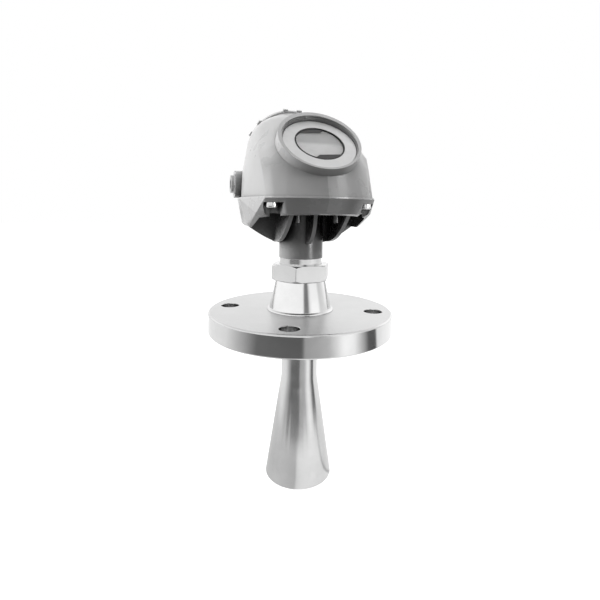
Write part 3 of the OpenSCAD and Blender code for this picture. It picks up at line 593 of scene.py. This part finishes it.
def window_print():
    """Two dark printed segments on the glass, above the picture and below it, each with a slanted end."""
    bm = bmesh.new()
    sweep = math.pi - math.asin(PICTURE_HALF / PRINT_R) - PRINT_START
    rim = [PRINT_START + sweep * i / PRINT_STEPS for i in range(PRINT_STEPS + 1)]
    outline = [(PRINT_R * math.cos(a), PRINT_R * math.sin(a)) for a in rim] + [(PRINT_SLANT_X, PICTURE_HALF)]
    for side in (1, -1):
        bm.faces.new([bm.verts.new((side * x, side * y, 0)) for x, y in outline])
    bmesh.ops.recalc_face_normals(bm, faces=bm.faces)
    bmesh.ops.solidify(bm, geom=bm.faces[:], thickness=PRINT_T)
    bmesh.ops.recalc_face_normals(bm, faces=bm.faces)
    bmesh.ops.translate(bm, vec=(0, 0, PRINT_LEVEL), verts=bm.verts)
    bmesh.ops.transform(bm, matrix=at_picture(), verts=bm.verts)
    put_in_order(bm)
    return to_piece("window_print", bm, "head", "display_plastic")


def display_disc(node, slot, radius, top, thickness):
    """A thin disc of the display with a rounded edge, in place of a CAD solid."""
    bm = bmesh.new()
    bmesh.ops.create_cone(bm, cap_ends=True, segments=ROUND_STEPS, radius1=radius, radius2=radius,
                          depth=thickness)
    round_edges(bm, DISC_EDGE, segments=2)
    bmesh.ops.translate(bm, vec=(0, 0, top - thickness / 2), verts=bm.verts)
    bmesh.ops.transform(bm, matrix=at_picture(), verts=bm.verts)
    piece = to_piece(node + "_finish", bm, "head", slot)
    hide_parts(node)
    return piece


def window_rim():
    """Thin dark line between the label ring and the glass."""
    bm = bmesh.new()
    inner, outer = WINDOW_R - RIM_HALF_WIDTH, WINDOW_R + RIM_HALF_WIDTH
    corners = [bm.verts.new((x, 0, z)) for x, z in
               ((inner, RIM_BOTTOM), (outer, RIM_BOTTOM), (outer, RIM_TOP), (inner, RIM_TOP))]
    edges = [bm.edges.new((corners[i], corners[(i + 1) % 4])) for i in range(4)]
    bmesh.ops.spin(bm, geom=corners + edges, cent=(0, 0, 0), axis=(0, 0, 1), angle=FULL_TURN,
                   steps=ROUND_STEPS, use_merge=True)
    bmesh.ops.recalc_face_normals(bm, faces=bm.faces)
    bmesh.ops.transform(bm, matrix=at_display(), verts=bm.verts)
    put_in_order(bm)
    return to_piece("window_rim", bm, "head", "seal_rubber")


def dress_the_rest():
    """Gives every carried-over CAD node the finish of its own material slot."""
    for node in frame["nodes"].values():
        for own_slot in node.material_slots:
            name = own_slot.material.name.split(".")[0] if own_slot.material else ""
            if name in FINISH:
                own_slot.material = FINISH[name]


dress_the_rest()
for node, body, slot, width in REFINED:
    refined(node, body, slot, width)
for node, body, slot, crease in CAST:
    refined(node, body, slot, smooth_below=crease, creased=on_the_nose)
window_print()
display_disc("display_window", "window_glass", WINDOW_R, GLASS_TOP, GLASS_T)
display_disc("lcd_screen", "screen", SCREEN_R, SCREEN_TOP, SCREEN_T)
window_rim()


# --- Stage ----------------------------------------------------------------------------------

def camera():
    """The view from the front left, looking level from a little above the flange."""
    turn = Matrix.Rotation(VIEW_TURN, 3, "Z")
    data = bpy.data.cameras.new("camera")
    data.sensor_width = 36
    data.lens = LENS
    data.shift_y = LENS_SHIFT
    data.clip_start = 0.01
    data.clip_end = 20
    placed = bpy.data.objects.new("camera", data)
    right = turn @ Vector((math.cos(VIEW_ROLL), 0, math.sin(VIEW_ROLL)))
    up = turn @ Vector((-math.sin(VIEW_ROLL), 0, math.cos(VIEW_ROLL)))
    look = turn @ Vector((0, 1, 0))
    place = turn @ VIEW_PLACE * MM + Vector((0, 0, FLANGE_TOP))
    placed.matrix_world = Matrix.Translation(place) @ Matrix((right, up, -look)).transposed().to_4x4()
    bpy.context.scene.collection.objects.link(placed)
    bpy.context.scene.camera = placed


def facing(look):
    """The turn of a lamp that looks one way and keeps its upper edge level."""
    right = look.cross(Vector((0, 0, 1))).normalized()
    up = right.cross(look).normalized()
    return Matrix((right, up, -look)).transposed().to_4x4()


def soft_light(name, place, aim, size, power, in_metal=False, gloss_only=False):
    """A lamp with an oblong face. It may show in metal and glass, or give nothing but a gleam."""
    data = bpy.data.lights.new(name, "AREA")
    data.shape = "RECTANGLE"
    data.size, data.size_y = size
    data.energy = power
    placed = bpy.data.objects.new(name, data)
    placed.visible_glossy = in_metal
    placed.visible_transmission = in_metal
    placed.visible_diffuse = not gloss_only
    look = (Vector(aim) - Vector(place)).normalized()
    placed.matrix_world = Matrix.Translation(place) @ facing(look)
    bpy.context.scene.collection.objects.link(placed)
    return placed


def keep_off(lamp, pieces):
    """Keeps a lamp from lighting the given pieces, as a flag on a studio stand does."""
    flag = bpy.data.collections.new(lamp.name + "_flag")
    for number, piece in enumerate(pieces):
        flag.objects.link(bpy.data.objects[piece])
        flag.collection_objects[number].light_linking.link_state = "EXCLUDE"
    lamp.light_linking.receiver_collection = flag


def empty_tree(owner):
    """The node tree of a world or a material, with nothing in it."""
    owner.use_nodes = True
    owner.node_tree.nodes.clear()
    return owner.node_tree


def kinds_of_ray(tree):
    """Whether a ray goes straight to the eye, also through glass, and whether it is a reflection."""
    path = node_in(tree, "ShaderNodeLightPath")
    seen = maths(tree, "MAXIMUM", path.outputs["Is Camera Ray"], path.outputs["Is Transmission Ray"])
    return seen, path.outputs["Is Glossy Ray"]


def studio_bands(tree, place, stops):
    """Brightness of the studio round a place, from a list of shares of a turn."""
    x, y, _ = node_in(tree, "ShaderNodeSeparateXYZ", {0: place}).outputs
    turn = maths(tree, "DIVIDE", maths(tree, "ARCTAN2", y, x), FULL_TURN)
    share = maths(tree, "FRACT", maths(tree, "ADD", turn, X_FROM_BEHIND))
    ramp = node_in(tree, "ShaderNodeFloatCurve", {"Value": share})
    curve = ramp.mapping.curves[0]
    ramp.mapping.use_clip = False
    curve.points[0].location = (0, stops[0][1] / BRIGHTEST)
    curve.points[-1].location = (1, stops[-1][1] / BRIGHTEST)
    for position, brightness in stops[1:-1]:
        curve.points.new(position, brightness / BRIGHTEST)
    for point in curve.points:
        point.handle_type = "VECTOR"
    ramp.mapping.update()
    return maths(tree, "MULTIPLY", ramp.outputs[0], BRIGHTEST)


def white_background():
    """White to the eye, banded in reflections near the horizon, and dimmer as a light."""
    world = bpy.data.worlds.new("studio")
    tree = empty_tree(world)
    seen, glossy = kinds_of_ray(tree)
    direction = node_in(tree, "ShaderNodeTexCoord").outputs["Generated"]
    rise = node_in(tree, "ShaderNodeSeparateXYZ", {0: direction}).outputs[2]
    bands = mixed(tree, ranged(tree, rise, *SKY_RISE), studio_bands(tree, direction, WALLS), SKY_SHEEN)
    strength = mixed(tree, seen, mixed(tree, glossy, SKY_LIGHT, bands), 1.0)
    shown = node_in(tree, "ShaderNodeBackground", {"Color": grey(1), "Strength": strength})
    node_in(tree, "ShaderNodeOutputWorld", {"Surface": shown.outputs[0]})
    bpy.context.scene.world = world


def floor_cards(tree, place, reach):
    """What metal sees on the floor: the cards, from near to far, and less of them towards the horizon."""
    cards = studio_bands(tree, place, NEAR_CARDS)
    for start, bands in ((CARDS_START, CARDS), (FAR_CARDS_START, FAR_CARDS)):
        cards = mixed(tree, ranged(tree, reach, *start), cards, studio_bands(tree, place, bands))
    return maths(tree, "MULTIPLY", cards, ranged(tree, reach, *HORIZON, 1.0, HORIZON_SHEEN))


def floor_paper():
    """Pale paper to the eye, cards in reflections, and a dim bounce as a light."""
    material = bpy.data.materials.new("floor_white")
    tree = empty_tree(material)
    seen, glossy = kinds_of_ray(tree)
    place = node_in(tree, "ShaderNodeTexCoord").outputs["Object"]
    reach = node_in(tree, "ShaderNodeVectorMath", {0: place}, operation="LENGTH").outputs["Value"]
    paper = node_in(tree, "ShaderNodeBsdfDiffuse", {"Color": mixed(tree, seen, FLOOR_BOUNCE, FLOOR_TONE)})
    shiny = maths(tree, "MULTIPLY", glossy, floor_cards(tree, place, reach))
    shown = mixed(tree, seen, shiny, ranged(tree, reach, *FLOOR_GLOW_REACH, *FLOOR_GLOW))
    glow = node_in(tree, "ShaderNodeEmission", {"Color": grey(1), "Strength": shown})
    both = node_in(tree, "ShaderNodeAddShader", {0: paper.outputs[0], 1: glow.outputs[0]})
    node_in(tree, "ShaderNodeOutputMaterial", {"Surface": both.outputs[0]})
    return material


def floor():
    """A pale floor under the antenna's mouth that keeps a faint shadow."""
    bm = bmesh.new()
    bmesh.ops.create_circle(bm, cap_ends=True, radius=FLOOR_R, segments=64)
    bmesh.ops.translate(bm, vec=(0, 0, FLOOR_Z), verts=bm.verts)
    mesh = bpy.data.meshes.new("floor")
    bm.to_mesh(mesh)
    bm.free()
    mesh.materials.append(floor_paper())
    placed = bpy.data.objects.new("floor", mesh)
    bpy.context.scene.collection.objects.link(placed)


camera()
white_background()
floor()
soft_light("left_softbox", place=(-1.27, 0.46, 0.55), aim=(0, 0, 0.12), size=(1.0, 1.2), power=28)
right = soft_light("right_softbox", place=(0.85, -0.75, 1.0), aim=(0, 0, 0.18), size=(0.4, 0.4), power=5.5,
                   in_metal=True)
soft_light("top_softbox", place=(0.1, 0.2, 1.5), aim=(0, 0, 0.1), size=(1.2, 1.2), power=15)
gleam = soft_light("gleam_strip", place=(0.606, -0.795, 0.13), aim=(0, 0, 0.13), size=(0.14, 0.26), power=2.8,
                   in_metal=True, gloss_only=True)
for lamp in (right, gleam):
    keep_off(lamp, BARE_METAL)

bpy.context.scene.view_settings.view_transform = "Standard"
